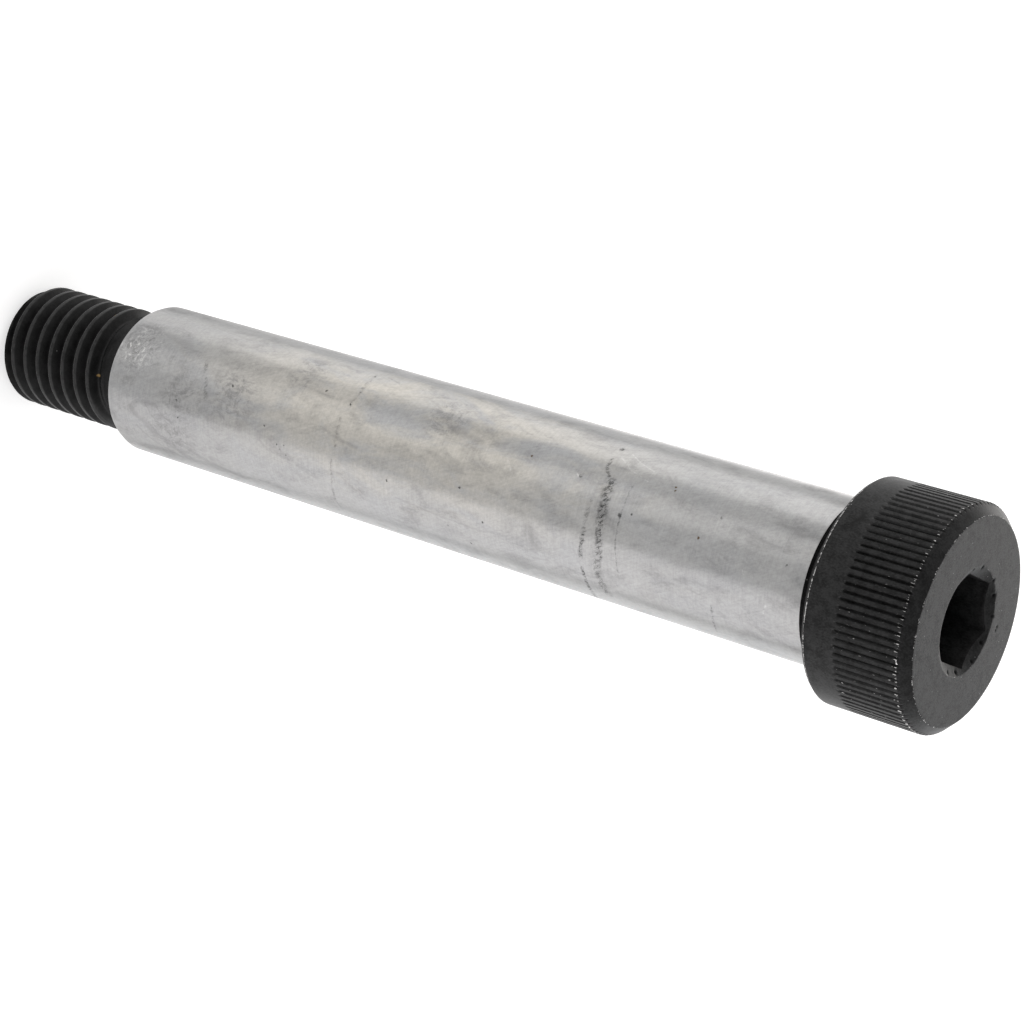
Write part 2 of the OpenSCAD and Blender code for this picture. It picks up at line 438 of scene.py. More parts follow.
# %% Close the tip and the neck
extra_r = (TIP_R - 0.12, TIP_R, NECK_R, NECK_R, NECK_R)
extra_z = (0, 0, THREAD_TOP, SHOULDER_FOOT - 0.625, SHOULDER_FOOT)
extra_rings = [turned(r, z, thread_angle) for r, z in zip(extra_r, extra_z)]
thread_poles = [(0, 0, 0), (0, 0, SHOULDER_FOOT)]
thread_all = np.concatenate([helix_points.reshape(-1, 3), *extra_rings, thread_poles])
thread_quads = np.concatenate([
    grid_quads, strip_quads(2, TURN_POINTS, tip_inner), strip_quads(3, TURN_POINTS, neck_foot),
])
thread_triangles = np.concatenate([
    slivers, pole_fan(tip_inner, TURN_POINTS, tip_pole, False),
    pole_fan(neck_top, TURN_POINTS, tip_pole + 1, True),
])
in_faces = np.concatenate([thread_quads.ravel(), thread_triangles.ravel()])
used, renumbered = np.unique(in_faces, return_inverse=True)
thread_quads, thread_triangles = np.split(renumbered, [thread_quads.size])
print("points that no face uses are left out:", len(thread_all) - len(used))

# %% Wear of the thread, and a painted highlight on the rim of its tip
CREST_CORNER_WEAR, CREST_WEAR, TIP_WEAR_AND_HIGHLIGHT, TIP_EDGE_WEAR_AND_HIGHLIGHT = 1.0, 0.3, 1.3, 0.9
on_crest = thread_r > CREST_R - 0.33
corner_wear = CREST_CORNER_WEAR * bell(from_crest, 0.02 - CREST_HALF, 0.06)
crest_wear = (corner_wear + CREST_WEAR * bell(from_crest, 0.0, 0.25)) * on_crest
# the tip's rim is taken towards bare steel: partly wear, partly a painted highlight in place of a bright
# reflection on the chamfer
helix_wear_and_tip_highlight = crest_wear + TIP_WEAR_AND_HIGHLIGHT * bell(held, 0.0, 0.30)
no_marks = np.zeros(len(thread_all) - grid_size)
tip_edge_wear_and_highlight = no_marks.copy()
tip_edge_wear_and_highlight[tip_edge - grid_size:neck_foot - grid_size] = TIP_EDGE_WEAR_AND_HIGHLIGHT
crest_mark = ((np.abs(from_crest) < CREST_HALF + 0.03) & on_crest).ravel() * 1.0
thread_faces = thread_quads.reshape(-1, 4), thread_triangles.reshape(-1, 3)
# on the thread the wear mark also carries the painted highlight on the tip's rim
thread = make_piece("bolt_thread", thread_all[used], *thread_faces, {
    "wear": np.concatenate([helix_wear_and_tip_highlight.ravel(), tip_edge_wear_and_highlight])[used],
    "crest": np.concatenate([crest_mark, no_marks])[used],
})

# %% [markdown]
# ## Hand the skins to the frame
#
# Each skin rides on the bolt's one body and stands for the solid, which stays hidden underneath and
# goes on doing the mechanics. Folds of more than 42 degrees are kept sharp, so that the shading doesn't
# smear across a flat and its neighbour.

# %% Ride and replace
for piece, slot in ((head, "black_oxide"), (shoulder, "ground_steel"), (thread, "black_oxide")):
    piece.data.set_sharp_from_angle(angle=np.radians(42))
    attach(piece, "root")
    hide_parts("shoulder_bolt")

# %% [markdown]
# ## A workbench for finishes
#
# A material is a small machine of nodes. Building it by hand in the shader editor works well, and in
# code a few short helpers keep it readable: one that adds a node and links or sets its inputs, and one
# for each thing that the finishes need again and again, such as noise or a smooth step. Every pattern
# starts from Object coordinates, here in millimetres, so it stays on the metal like a real stain.


# %% Short ways to add nodes
class Nodes:
    """A node tree, filled one by one. A socket given as an input is linked, a number is set."""

    def __init__(self, owner):
        owner.use_nodes = True
        self.tree = owner.node_tree
        self.tree.nodes.clear()

    def put(self, socket, value):
        if isinstance(value, bpy.types.NodeSocket):
            self.tree.links.new(value, socket)
        else:
            socket.default_value = value

    def add(self, kind, inputs=None, **settings):
        node = self.tree.nodes.new(kind)
        for key, value in settings.items():
            setattr(node, key, value)
        for key, value in (inputs or {}).items():
            self.put(node.inputs[key], value)
        return node

    def math(self, operation, a, b=0.0, clamp=False):
        return self.add("ShaderNodeMath", {0: a, 1: b}, operation=operation, use_clamp=clamp).outputs[0]

    def plus(self, a, b):
        return self.math("ADD", a, b)

    def times(self, a, b):
        return self.math("MULTIPLY", a, b)

    def larger(self, a, b):
        return self.math("MAXIMUM", a, b)

    def vector(self, operation, a, b, c=(0, 0, 0)):
        node = self.add("ShaderNodeVectorMath", {0: a, 1: b, 2: c}, operation=operation)
        return node.outputs["Value" if operation in ("DOT_PRODUCT", "DISTANCE") else "Vector"]

    def ramp(self, value, low, high, to_low=0.0, to_high=1.0):
        """A smooth step from to_low at low to to_high at high."""
        inputs = {"Value": value, "From Min": low, "From Max": high, "To Min": to_low, "To Max": to_high}
        return self.add("ShaderNodeMapRange", inputs, interpolation_type="SMOOTHSTEP").outputs[0]

    def noise(self, spot, stretch, detail, rough, twist=0.0):
        spot = self.vector("MULTIPLY", spot, stretch)
        inputs = {"Vector": spot, "Scale": 1.0, "Detail": detail, "Roughness": rough, "Distortion": twist}
        return self.add("ShaderNodeTexNoise", inputs).outputs["Fac"]

    def attribute(self, name):
        return self.add("ShaderNodeAttribute", attribute_name=name).outputs["Fac"]

    def mix(self, share, a, b):
        """Colour a, going over to colour b as the share goes from nought to one."""
        node = self.add("ShaderNodeMix", data_type="RGBA")
        for socket, value in zip((node.inputs[0], node.inputs[6], node.inputs[7]), (share, a, b)):
            self.put(socket, value)
        return node.outputs[2]

    def crumbs(self, spot, cell, size, kept):
        """Small round dots, at most one to a cell of that many mm, in the share of cells that is kept."""
        scaled = self.vector("MULTIPLY", spot, (1 / cell, 1 / cell, 1 / cell))
        cells = self.add("ShaderNodeTexVoronoi", {"Vector": scaled, "Scale": 1.0})
        draw = self.add("ShaderNodeSeparateColor", {0: cells.outputs["Color"]}).outputs[0]
        chosen = self.math("LESS_THAN", draw, kept)
        dots = self.ramp(cells.outputs["Distance"], size / cell, 0.5 * size / cell)
        return self.times(dots, chosen)

    def bump(self, height, strength, depth_mm):
        inputs = {"Strength": strength, "Distance": depth_mm * 0.001, "Height": height}
        return self.add("ShaderNodeBump", inputs).outputs[0]


# %% A finish
class Finish(Nodes):
    """A material on the metal. Its spot is the place in mm, and its patterns start from there."""

    def __init__(self, name):
        self.material = bpy.data.materials.new(name)
        super().__init__(self.material)
        spot = self.add("ShaderNodeTexCoord").outputs["Object"]
        self.spot = self.vector("MULTIPLY", spot, (1000, 1000, 1000))

    def parts(self):
        """The x, y and z of the spot."""
        return self.add("ShaderNodeSeparateXYZ", {0: self.spot}).outputs

    def warped(self, spot, scale, amount):
        """The same place, pushed aside by up to that many mm, so that what is drawn there gets ragged."""
        scaled = self.vector("MULTIPLY", self.spot, (scale, scale, scale))
        inputs = {"Vector": scaled, "Scale": 1.0, "Detail": 3.0}
        push = self.add("ShaderNodeTexNoise", inputs).outputs["Color"]
        push = self.vector("SUBTRACT", push, (0.5, 0.5, 0.5))
        return self.vector("MULTIPLY_ADD", push, (2 * amount, 2 * amount, 0), spot)

    def done(self, **inputs):
        shader = self.add("ShaderNodeBsdfPrincipled", {k.replace("_", " "): v for k, v in inputs.items()})
        self.add("ShaderNodeOutputMaterial", {"Surface": shader.outputs[0]})
        return self.material


def grey(value, red=0.0, blue=0.0):
    """A grey of that linear value, a little redder or bluer if asked."""
    return (value + red, value, value + blue, 1)


# %% [markdown]
# ## Marks on the shoulder
#
# The ground shoulder has had a hard time: two dark rings where something rubbed, a smudge by the
# thread, fine scratches and some pits. Their places are known, so they are drawn and not left to
# chance. To draw on a cylinder, unroll it: the angle times the radius is how far round a point lies,
# and its height is how far up. On that flat sheet a scratch is a line from one place to the next, and
# a point's share of it follows from its distance to the line. Noise then breaks the line into dashes.

# %% Places of the marks
RUBS = [  # half width in mm, darkness, and the places it runs through as (degrees round the axis, mm up)
    (0.42, 0.75, [(-155, 96.6), (-148, 96.6), (-140, 97.9)]),
    (0.95, 0.95, [(-138, 98.2), (-127, 98.4), (-108, 98.8)]),
    (0.75, 1.00, [(-113, 98.7), (-87, 99)]),
    (0.80, 0.62, [(-87, 99), (-75, 98.6), (-53, 99.1)]),
    (0.45, 0.45, [(-123, 96.7), (-107, 96.7)]),
    (0.48, 1.00, [(-102, 96.8), (-83, 96.5)]),
    (0.36, 0.95, [(-73, 96.5), (-65, 96.6), (-47, 96.5), (-36, 96.1)]),
    (0.16, 0.45, [(-140, 100.9), (-118, 101), (-98, 101.1), (-79, 101.6)]),
    (0.34, 0.36, [(-172, 60), (-150, 60.4), (-138, 60.2)]),
    (0.34, 0.40, [(-127, 59.8), (-107, 60.2)]),
    (0.28, 0.34, [(-96, 59.9), (-83, 59.9), (-62, 59.5), (-52, 59.8)]),
    (0.20, 0.40, [(-174, 61.6), (-169, 64.4)]),
    (0.22, 0.55, [(-76, 113.8), (-50, 113.4)]),
    (0.40, 0.50, [(-137, 37), (-132, 37.3)]),
    (0.45, 0.50, [(-126, 38), (-113, 38.9)]),
    (1.60, 0.16, [(-151, 96.9), (-111, 98.6), (-60, 98.4)]),
]
SWEEPS = [  # faint dark scratches that curve down towards the head
    (0.20, 0.50, [(-96, 29), (-88, 29.9), (-80, 31.9)]),
    (0.20, 0.45, [(-96, 30.9), (-90, 31.9), (-86, 33.5)]),
    (0.35, 0.45, [(-80, 29.5), (-66, 31.6), (-55, 35.4)]),
    (0.28, 0.45, [(-74, 27.1), (-64, 29), (-53, 32.8)]),
    (0.50, 0.45, [(-70, 33.9), (-58, 38.4), (-50, 43.8)]),
    (0.60, 0.40, [(-89, 26.4), (-73, 29.9), (-61, 34.3)]),
    (0.35, 0.50, [(-117, 57.5), (-112, 60.8), (-110, 63.4)]),
    (0.60, 0.50, [(-161, 69.5), (-158, 71), (-145, 74.7), (-139, 79.9)]),
    (0.70, 0.35, [(-159, 24.1), (-153, 27.3), (-148, 33.1)]),
    (0.22, 0.35, [(-68, 89.4), (-70, 91.7)]),
    (0.22, 0.35, [(-83, 69.9), (-79, 75.9), (-77, 82.9)]),
]
SHINES = [  # thin bright scratches
    (0.12, 0.40, [(-165, 98.3), (-159, 100.1), (-155, 102.3)]),
    (0.12, 0.35, [(-159, 97.5), (-151, 99.6), (-146, 102.4)]),
    (0.20, 0.40, [(-135, 84.1), (-132, 84.4)]),
    (0.20, 0.40, [(-128, 85.1), (-126, 85.3)]),
    (0.11, 0.40, [(-108, 117.3), (-105, 117.6)]),
    (0.14, 0.35, [(-89, 120.7), (-82, 120.4)]),
    (0.40, 0.35, [(-161, 69.4), (-156, 71.4)]),
    (0.20, 0.60, [(-137, 93.7), (-136, 93.9)]),
]
DOTS = [  # half width in mm, and the place as (degrees, mm up)
    (0.26, (-144, 55.9)), (0.20, (-139, 60.2)), (0.16, (-151, 60.4)), (0.20, (-170, 60.1)),
    (0.18, (-106, 49)), (0.15, (-95, 51.2)), (0.17, (-92, 51.7)), (0.14, (-96, 52.3)),
    (0.13, (-89, 52.7)), (0.18, (-94, 68.5)), (0.28, (-136, 94.2)), (0.22, (-105, 79.1)),
    (0.20, (-85, 82.7)), (0.18, (-62, 80.2)), (0.16, (-73, 77.3)), (0.20, (-136, 112.9)),
    (0.18, (-118, 122.3)), (0.42, (-167, 96.6)), (0.40, (-118, 100.9)), (0.20, (-121, 102.3)),
    (0.24, (-127, 42.4)), (0.22, (-105, 34.3)), (0.14, (-92, 34.7)),
]
RUST = [(0.20, (-140, 87)), (0.18, (-148, 105.9)), (0.18, (-145, 106.1)), (0.22, (-119, 111.2))]
print(len(RUBS) + len(SWEEPS) + len(SHINES), "scratches and rubs,", len(DOTS) + len(RUST), "spots")


# %% Nodes that draw them
def unrolled(f, radius):
    """The skin laid flat: x is the angle times the radius, y is the height, both in mm."""
    parts = f.parts()
    around = f.times(f.math("ARCTAN2", parts[1], parts[0]), radius)
    return f.add("ShaderNodeCombineXYZ", {0: around, 1: parts[2]}).outputs[0]


def flat_place(place, radius):
    """A place given as (degrees, mm up) on the unrolled sheet."""
    return np.array([np.radians(place[0]) * radius, place[1], 0.0])


def line_share(f, sheet, a, b, half_width):
    """One on the line from a to b, nought half_width away: a smooth step of the distance to the line."""
    along = b - a
    from_a = f.vector("SUBTRACT", sheet, tuple(a))
    share = f.vector("DOT_PRODUCT", from_a, tuple(along / (along @ along)))
    share = f.math("MULTIPLY", share, 1.0, clamp=True)
    nearest = f.vector("MULTIPLY_ADD", share, tuple(along), tuple(a))
    return f.ramp(f.vector("DISTANCE", sheet, nearest), half_width, 0.15 * half_width)


def drawn(f, sheet, marks, radius=SHOULDER_R):
    """The strongest of all the marks' lines at each point."""
    total = 0.0
    for half_width, strength, places in marks:
        flat = [flat_place(place, radius) for place in places]
        for a, b in zip(flat[:-1], flat[1:]):
            line = f.times(line_share(f, sheet, a, b, half_width), strength)
            total = f.larger(line, total)
    return total


def dotted(f, sheet, dots, radius=SHOULDER_R):
    """The strongest of all the dots at each point."""
    total = 0.0
    for half_width, place in dots:
        away = f.vector("DISTANCE", sheet, tuple(flat_place(place, radius)))
        total = f.larger(f.ramp(away, half_width, 0.4 * half_width), total)
    return total


def patch(f, sheet, place, size, slim=1.0):
    """One in the middle of a patch, fading to nought size mm away, or that over slim across the axis."""
    sheet = f.vector("MULTIPLY", sheet, (slim, 1, 1))
    away = f.vector("DISTANCE", sheet, tuple(flat_place(place, SHOULDER_R) * (slim, 1, 1)))
    return f.ramp(away, size, 0.2 * size)


# %% [markdown]
# ## Ground steel
#
# A grinding wheel leaves thousands of hair-fine lines round the shoulder. They spread a reflection
# along the axis and keep it sharp around it, which is what the Anisotropic setting does: 1 for the
# longest spread, turned by a quarter because the lines run round and not along. Over that lie an oily
# film and fingerprints, as soft clouds that are cooler or warmer, a painted warm reflection in a wide
# band along the axis on the side that faces the camera, and then the marks placed above.

# %% Film, stains and grain of the steel
COOL, WARM = grey(0.375, 0.0, 0.002), grey(0.445, 0.020, -0.035)
DIRT, RUBBED = grey(0.20, 0.002, 0.0), grey(0.04)
BRIGHT, RUSTY = grey(0.62, 0.005, -0.01), (0.12, 0.085, 0.06, 1)
# the warm streak is a painted reflection: a wide warm band along the axis, on the side facing the camera
PAINTED_WARM_REFLECTION, PAINTED_REFLECTION_REACH, PAINTED_REFLECTION_SLIM, WARM_REST = (-135, 68), 44, 3.6, 0.12
SMUDGE, SMUDGE_REACH = (-136, 25.5), 5.0
STAINS = [  # place as (degrees, mm up), and reach in mm
    ((-156, 51.9), 4.5), ((-122, 43), 6.5), ((-108, 34.9), 5.0), ((-73, 32.9), 5.5), ((-150, 73.9), 5.0),
]
# the shoulder's colour is drawn up to a tenth darker towards the thread end and a little darker towards the
# head end
FOOT_DIMS_FROM, FOOT_DIMS_TO, HEAD_END_FROM, HEAD_END_TO = 52.0, 24.0, 92.0, 112.0  # mm up


def slanted(f, sheet, degrees):
    """The sheet turned by that angle, for patterns that run askew."""
    inputs = {"Vector": sheet, "Rotation": (0, 0, np.radians(degrees))}
    return f.add("ShaderNodeMapping", inputs).outputs[0]


def film_and_painted_reflection(f, sheet):
    """Cool metal under an oily film that is a little warmer in places, and a painted warm reflection: a
    wide band along the axis on the side that faces the camera.
    """
    film = f.noise(f.vector("ADD", f.spot, (40, 0, 0)), (0.22, 0.22, 0.08), 5.0, 0.65, 0.8)
    # the patch is the painted warm reflection band, and the rest is the film's own warmth
    reflection_and_film_warmth = f.plus(patch(f, sheet, PAINTED_WARM_REFLECTION, PAINTED_REFLECTION_REACH, PAINTED_REFLECTION_SLIM), WARM_REST)
    return f.mix(f.times(f.ramp(film, 0.34, 0.58), reflection_and_film_warmth), COOL, WARM)


def stained(f, sheet, cloud):
    """The share of dirt: soft clouds all over, and ragged blotches where the stains are."""
    near = 0.0
    for place, reach in STAINS:
        near = f.larger(patch(f, sheet, place, reach), near)
    blotches = f.noise(f.vector("ADD", f.spot, (0, 60, 0)), (0.9, 0.9, 0.6), 6.0, 0.80, 0.5)
    near = f.times(near, f.ramp(blotches, 0.42, 0.64, 0.06, 0.72))
    return f.larger(f.ramp(cloud, 0.48, 0.72, 0.0, 0.42), near)


def lightness(f, sheet, tooth, grain):
    """About one: finer and coarser grain, wiped streaks and mottling, and a little less at both ends."""
    wiped = f.noise(slanted(f, sheet, -28), (5.0, 0.35, 1), 4.0, 0.7)
    mottle = f.noise(f.spot, (1.2, 1.2, 0.8), 6.0, 0.76, 1.0)
    light = 1.0
    for pattern, swing in ((tooth, 0.07), (grain, 0.045), (wiped, 0.05), (mottle, 0.05)):
        light = f.plus(light, f.ramp(pattern, 0.30, 0.70, -swing, swing))
    height_up = f.parts()[2]
    light = f.times(light, f.ramp(height_up, FOOT_DIMS_TO, FOOT_DIMS_FROM, 0.90, 1.0))
    return f.times(light, f.ramp(height_up, HEAD_END_FROM, HEAD_END_TO, 1.0, 0.95))


# %% Smudge, rubs and pits of the steel
def smudged(f, sheet, colour):
    """A swirl of dirt and bright scrapes by the thread."""
    smudge = patch(f, sheet, SMUDGE, SMUDGE_REACH)
    swirl = f.noise(f.vector("ADD", f.spot, (0, 0, 90)), (0.9, 0.9, 0.9), 6.0, 0.75, 2.2)
    colour = f.mix(f.times(smudge, f.ramp(swirl, 0.50, 0.62, 0.0, 0.8)), colour, DIRT)
    return f.mix(f.times(smudge, f.ramp(swirl, 0.47, 0.37, 0.0, 0.8)), colour, BRIGHT)


def broken_rubs(f, sheet):
    """The rubs, broken into slanting dashes by noise."""
    dashes = f.ramp(f.noise(slanted(f, sheet, 50), (1.2, 2.2, 1), 5.0, 0.85), 0.46, 0.58)
    dashes = f.plus(f.times(dashes, 0.74), 0.12)
    return f.times(drawn(f, sheet, RUBS), dashes)


def all_pits(f, sheet, tooth):
    """The pits with known places, frayed by the grain, and faint ones left to chance."""
    known = f.times(dotted(f, sheet, DOTS), f.ramp(tooth, 0.36, 0.54))
    faint = f.times(f.crumbs(f.warped(f.spot, 2.5, 0.15), 3.6, 0.13, 0.10), 0.5)
    return f.larger(known, faint)


# %% Ground steel
def ground_steel():
    f = Finish("ground steel")
    sheet = unrolled(f, SHOULDER_R)
    ragged = f.warped(sheet, 1.6, 0.22)
    grain = f.noise(f.spot, (0.35, 0.35, 5.0), 4.0, 0.7)
    tooth = f.noise(f.spot, (3.0, 3.0, 2.4), 4.0, 0.75)
    cloud = f.noise(f.spot, (0.34, 0.34, 0.16), 5.0, 0.66, 0.8)
    colour = f.mix(stained(f, ragged, cloud), film_and_painted_reflection(f, sheet), DIRT)
    colour = f.vector("MULTIPLY", colour, lightness(f, sheet, tooth, grain))
    colour = smudged(f, ragged, colour)
    rubs, pits = broken_rubs(f, ragged), all_pits(f, ragged, tooth)
    sweeps = f.times(drawn(f, ragged, SWEEPS), f.ramp(tooth, 0.30, 0.60))
    shines = f.times(drawn(f, sheet, SHINES), f.ramp(tooth, 0.40, 0.60))
    layers = (
        (f.times(sweeps, 0.8), DIRT), (rubs, RUBBED), (shines, BRIGHT), (f.times(pits, 0.85), RUBBED),
        (dotted(f, ragged, RUST), RUSTY), (f.times(f.attribute("wear"), 0.8), BRIGHT),
    )
    for share, paint in layers:
        colour = f.mix(share, colour, paint)
    rough = f.plus(f.ramp(cloud, 0.3, 0.7, 0.38, 0.44), f.times(rubs, 0.2))
    height = f.plus(f.times(tooth, 0.6), f.times(grain, 0.4))
    return f.done(
        Base_Color=colour, Metallic=1.0, Roughness=rough, Anisotropic=1.0, Anisotropic_Rotation=0.25,
        Normal=f.bump(f.math("SUBTRACT", height, pits), 0.05, 0.02),
    )


steel = ground_steel()
print("ground steel:", len(steel.node_tree.nodes), "nodes")

# %% [markdown]
# ## Black oxide
#
# Blacking is a thin black skin that is grown on the steel in a hot salt bath and then oiled. It isn't
# paint: it follows every tool mark and rubs off to bare metal on the edges. So each version of it is
# the same recipe: a nearly black base with a low, oily gloss, a little mottling, and bare steel where
# the wear that the points carry, made ragged by noise, passes a limit. On the rim of the thread's tip
# that wear also stands for a painted highlight. The turned face is greyer and has the lathe's faint
# rings, and the thread is the blackest, apart from its crests.

# %% Colours of the blacking, and its scratches
SIDE_BLACK, FACE_BLACK, SOCKET_BLACK, THREAD_BLACK = 0.006, 0.016, 0.007, 0.003
BARE, DUST, FLECK = grey(0.50, 0.01, -0.005), grey(0.22), (0.20, 0.13, 0.05, 1)
CREST_GREY, PIT_BLACK = grey(0.022), grey(0.003)
BARE_LIMITS = 0.66, 0.84
BAND_SCRATCH = [  # half width in mm, strength, and places as (degrees, mm up)
    (0.09, 0.42, [(-167, 127.9), (-165.5, 128.6)]), (0.08, 0.40, [(-114.5, 127.7), (-115, 128.5)]),
    (0.07, 0.42, [(-112.5, 127.5), (-115.5, 128)]), (0.08, 0.38, [(-124, 127.4), (-122.5, 128)]),
    (0.08, 0.36, [(-130.5, 127.6), (-138.5, 128.7)]), (0.07, 0.36, [(-127, 128.9), (-134.5, 129.5)]),
]
FLECKS = [(0.30, (-101.0, 18.0)), (0.22, (-167.0, 16.2))]


# %% Parts of the recipe
def lathe_rings(f):
    """Noise of the distance from the axis alone, the root of x squared plus y squared."""
    parts = f.parts()
    squares = f.plus(f.math("POWER", parts[0], 2.0), f.math("POWER", parts[1], 2.0))
    radius = f.add("ShaderNodeCombineXYZ", {0: f.math("SQRT", squares)}).outputs[0]
    return f.noise(radius, (5, 1, 1), 4.0, 0.7)


def bare_steel(f, worn, fine, wear_gain):
    """One where the wear, pushed up and down by two sizes of noise, passes a limit."""
    coarse = f.noise(f.spot, (2.2, 2.2, 2.2), 3.0, 0.6)
    chance = f.plus(f.times(fine, 1.2), f.times(coarse, 1.2))
    ragged = f.plus(worn, f.math("SUBTRACT", chance, 1.2))
    return f.times(f.ramp(ragged, *BARE_LIMITS), wear_gain)


def thread_marks(f, cloud, colour):
    """A soft grey band on each crest, and the yellow flecks between them."""
    on_crest = f.times(f.attribute("crest"), f.ramp(cloud, 0.35, 0.6, 0.4, 1.0))
    colour = f.mix(on_crest, colour, CREST_GREY)
    ragged = f.warped(unrolled(f, THREAD_R), 1.6, 0.15)
    return f.mix(dotted(f, ragged, FLECKS, THREAD_R), colour, FLECK)


# %% Black oxide
def black_oxide(name, base, rough, gloss, wear_gain=1.0, dust=0.1, mottle=0.38,
                rings=False, scratches=None, threaded=False):
    f = Finish(name)
    cloud = f.noise(f.spot, (0.9, 0.9, 0.9), 4.0, 0.6)
    fine = f.noise(f.spot, (6, 6, 3.5), 3.0, 0.6)
    long_wave = f.noise(f.spot, (0.35, 0.35, 0.35), 2.0, 0.5)
    tone = f.times(f.plus(cloud, fine), 0.5)
    dark, light = (1 - 0.7 * mottle) * base, (1 + 0.8 * mottle) * base
    colour = f.mix(f.ramp(tone, 0.36, 0.64), grey(dark), grey(light, 0, 0.04 * base))
    height = f.plus(f.times(cloud, 0.6), f.times(fine, 0.4))
    dents = f.times(f.crumbs(f.warped(f.spot, 3.0, 0.08), 0.9, 0.11, 0.5), 0.8)
    if rings:
        turning = lathe_rings(f)
        height = f.plus(height, f.times(turning, 1.2))
        colour = f.mix(f.ramp(turning, 0.35, 0.70, 0.0, 0.35), colour, grey(1.9 * base))
        colour = f.mix(dents, colour, grey(0.3 * base))
    specks = f.crumbs(f.vector("ADD", f.spot, (7, 3, 1)), 0.8, 0.085, dust)
    specks = f.times(specks, f.ramp(long_wave, 0.35, 0.6))
    colour = f.mix(f.times(specks, 0.7), colour, DUST)
    # on the thread this wear mark also holds a painted highlight on the tip's rim
    worn = f.attribute("wear")
    if scratches:
        worn = f.larger(worn, drawn(f, unrolled(f, HEAD_R), scratches, HEAD_R))
    bare = bare_steel(f, worn, fine, wear_gain)
    colour = f.mix(bare, colour, BARE)
    if threaded:
        colour = thread_marks(f, cloud, colour)
    in_pit = f.attribute("pit")
    shine = f.ramp(tone, 0.38, 0.62, 1 - mottle, 1 + mottle)
    shine = f.plus(shine, f.times(specks, 0.8))
    shine = f.times(shine, f.ramp(dents, 0.0, 0.8, 1.0, 0.55))
    return f.done(
        Base_Color=f.mix(in_pit, colour, PIT_BLACK), Metallic=bare,
        Roughness=f.plus(rough, f.ramp(cloud, 0.3, 0.7, -0.06, 0.06)),
        Specular_IOR_Level=f.times(shine, f.ramp(in_pit, 0.0, 0.8, gloss, 0.1 * gloss)),
        Normal=f.bump(height, 0.25, 0.05),
    )


side = black_oxide("black oxide, side", SIDE_BLACK, rough=0.42, gloss=0.20, dust=0.3, mottle=0.34,
                   scratches=BAND_SCRATCH)
turned_face = black_oxide("black oxide, turned face", FACE_BLACK, rough=0.46, gloss=0.157, wear_gain=0.6,
                          dust=0.6, mottle=0.50, rings=True)
socket = black_oxide("black oxide, socket", SOCKET_BLACK, rough=0.50, gloss=0.24)
cut = black_oxide("black oxide, cut edges", SIDE_BLACK, rough=0.50, gloss=0.14, dust=0.3)
thread_black = black_oxide("black oxide, thread", THREAD_BLACK, rough=0.40, gloss=0.15, wear_gain=0.28,
                           mottle=0.2, threaded=True)
wardrobe = ((head, (side, turned_face, socket, cut)), (shoulder, (steel, side)), (thread, (thread_black,)))
for piece, finishes in wardrobe:
    for finish in finishes:
        piece.data.materials.append(finish)
    print(piece.name, "wears", [finish.name for finish in finishes])

# %% [markdown]
# ## A pale floor
#
# The bolt stands on white, with hardly a shadow. A white floor under enough light would do it, but that
# much light would bleach the steel. So the floor is pale and gets a glow of its own that only shows to
# the camera, in reflections and through glass. It lights nothing, and where the bolt keeps light from
# the floor, a faint shadow stays. The floor is a disc that ends just before the lamps, where it is
# still bright, so that it passes into the white air behind it without a seam.

# %% Floor
FLOOR_RADIUS, FLOOR_STEPS, FLOOR_GLOW = 0.68, 96, 0.50
around = 2 * np.pi * np.arange(FLOOR_STEPS) / FLOOR_STEPS
floor_rim = FLOOR_RADIUS * np.stack([np.cos(around), np.sin(around), 0 * around], 1)
floor_mesh = bpy.data.meshes.new("floor")
floor_mesh.from_pydata(floor_rim.tolist(), [], [tuple(range(FLOOR_STEPS))])
floor = bpy.data.objects.new("floor", floor_mesh)
bpy.context.scene.collection.objects.link(floor)


def in_view(f):
    """One for rays from the camera, off gloss or through glass, nought for light that falls on things."""
    rays = f.add("ShaderNodeLightPath").outputs
    seen = f.larger(rays["Is Camera Ray"], rays["Is Glossy Ray"])
    return f.larger(seen, rays["Is Transmission Ray"])


f = Finish("pale floor")
matt = f.add("ShaderNodeBsdfDiffuse", {"Color": grey(0.8)})
glow = f.add("ShaderNodeEmission", {"Color": grey(1.0), "Strength": f.times(in_view(f), FLOOR_GLOW)})
both = f.add("ShaderNodeAddShader", {0: matt.outputs[0], 1: glow.outputs[0]})
f.add("ShaderNodeOutputMaterial", {"Surface": both.outputs[0]})
floor_mesh.materials.append(f.material)

# %% [markdown]
# ## The air of a studio
#
# The world stands for white walls far away. What it looks like and how much it lights are set apart:
# it looks white, and it lights at half that strength, which leaves room for the lamps.

# %% World
AIR_LIGHT, AIR_LOOK = 0.5, 1.0
world = bpy.data.worlds.new("studio air")
bpy.context.scene.world = world
air = Nodes(world)
strength = air.ramp(in_view(air), 0.0, 1.0, AIR_LIGHT, AIR_LOOK)
background = air.add("ShaderNodeBackground", {"Color": grey(1.0), "Strength": strength})
air.add("ShaderNodeOutputWorld", {"Surface": background.outputs[0]})

# %% [markdown]
# ## Soft lamps
#
# A polished cylinder shows its surroundings as bands along its length, so it is lit by shaping what it
# sees. A mirror ray leaves it at twice the angle from the camera that the surface has, so a band that
# starts 18 degrees below the middle is the edge of a lamp 36 degrees round from the camera. Each lamp
# is an upright sheet of light, given by the angles that it fills as seen from the bolt. Its power is
# its brightness times its area times pi, so brightness 1 looks as bright as white paper.

# %% Lamps
CAMERA_ANGLE, LAMP_DISTANCE, LAMP_FOOT = -117.1, 0.7, 0.02


def placed(right, up, back, place):
    """The matrix of a thing with these axes there. A lamp shines and a camera looks away from its back."""
    turn = np.eye(4)
    turn[:3] = np.column_stack([right, up, back, place])
    return Matrix(turn)


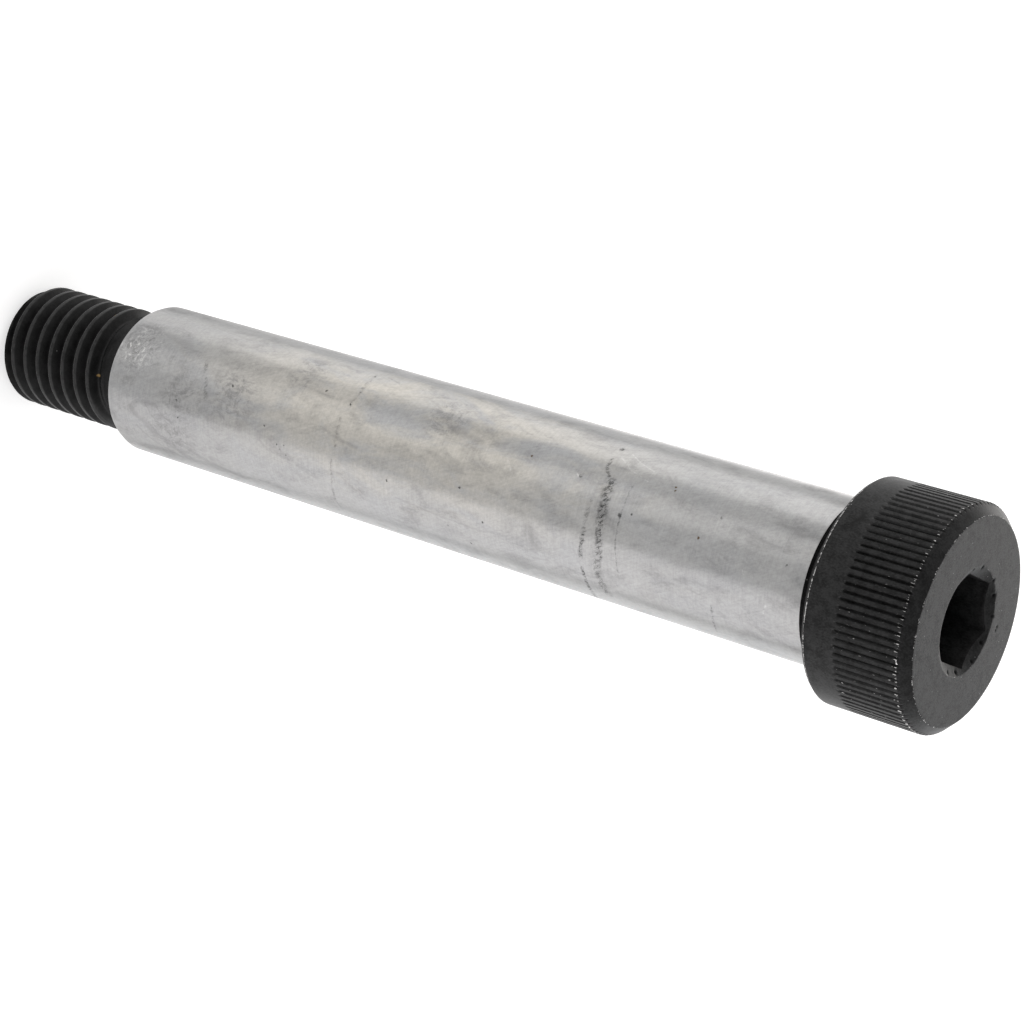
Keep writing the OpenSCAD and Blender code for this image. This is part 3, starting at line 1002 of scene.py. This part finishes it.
def upright_lamp(name, first, last, top, brightness, tint):
    """A flat lamp between two angles, in degrees round the axis from the camera, up to that height in m."""
    middle, half = np.radians(CAMERA_ANGLE + (first + last) / 2), np.radians((last - first) / 2)
    outward = np.array([np.cos(middle), np.sin(middle), 0])
    width, height = 2 * LAMP_DISTANCE * np.tan(half), top - LAMP_FOOT
    data = bpy.data.lights.new(name, "AREA")
    data.shape, data.size, data.size_y = "RECTANGLE", width, height
    data.energy, data.color = brightness * np.pi * width * height, tint
    lamp = bpy.data.objects.new(name, data)
    place = outward * LAMP_DISTANCE + (0, 0, (LAMP_FOOT + top) / 2)
    lamp.matrix_world = placed(np.cross((0, 0, 1), outward), (0, 0, 1), outward, place)
    lamp.visible_camera = False
    bpy.context.scene.collection.objects.link(lamp)
    print(f"{name}: {width:.2f} m wide, {data.energy:.1f} W")


LAMPS = {  # first and last angle, upper edge in m, brightness, colour
    "lamp, lower side": (36, 104, 0.6, 1.84, (1, 0.975, 0.985)),
    "lamp, upper side": (-106, -68, 0.6, 2.15, (1, 0.985, 0.97)),
    "lamp, behind, lower": (114, 180, 0.4, 1.6, (0.98, 0.99, 1)),
    "lamp, behind, upper": (180, 225, 0.4, 3.1, (1, 0.97, 0.94)),
    "lamp, front": (-40, -10, 0.4, 1.3, (1, 0.98, 0.95)),
}
for name, values in LAMPS.items():
    upright_lamp(name, *values)

# %% [markdown]
# ## The camera
#
# The camera looks down on the head from the same side and distance as the photographer did. The bolt
# lay on its side then, and here it stands, so the camera is rolled until the bolt lies across the
# picture in the same way. Its three axes are given as seen in the picture: to the right, up, and back
# towards the viewer. The picture isn't shifted, so the bolt stays in it from every other side too.

# %% Camera
view = bpy.data.cameras.new("camera")
view.lens, view.sensor_width = 92.332, 36
view.clip_start, view.clip_end = 0.01, 20
camera = bpy.data.objects.new("camera", view)
RIGHT = (-0.01190820, 0.61227314, 0.79055664)
UP = (-0.92275278, 0.29784344, -0.24457433)
BACK = (-0.38520840, -0.73240077, 0.56142996)
PLACE = (-0.11508980, -0.22537457, 0.25242075)
camera.matrix_world = placed(RIGHT, UP, BACK, PLACE)
bpy.context.scene.collection.objects.link(camera)
bpy.context.scene.camera = camera
bpy.context.scene.view_settings.view_transform = "Standard"
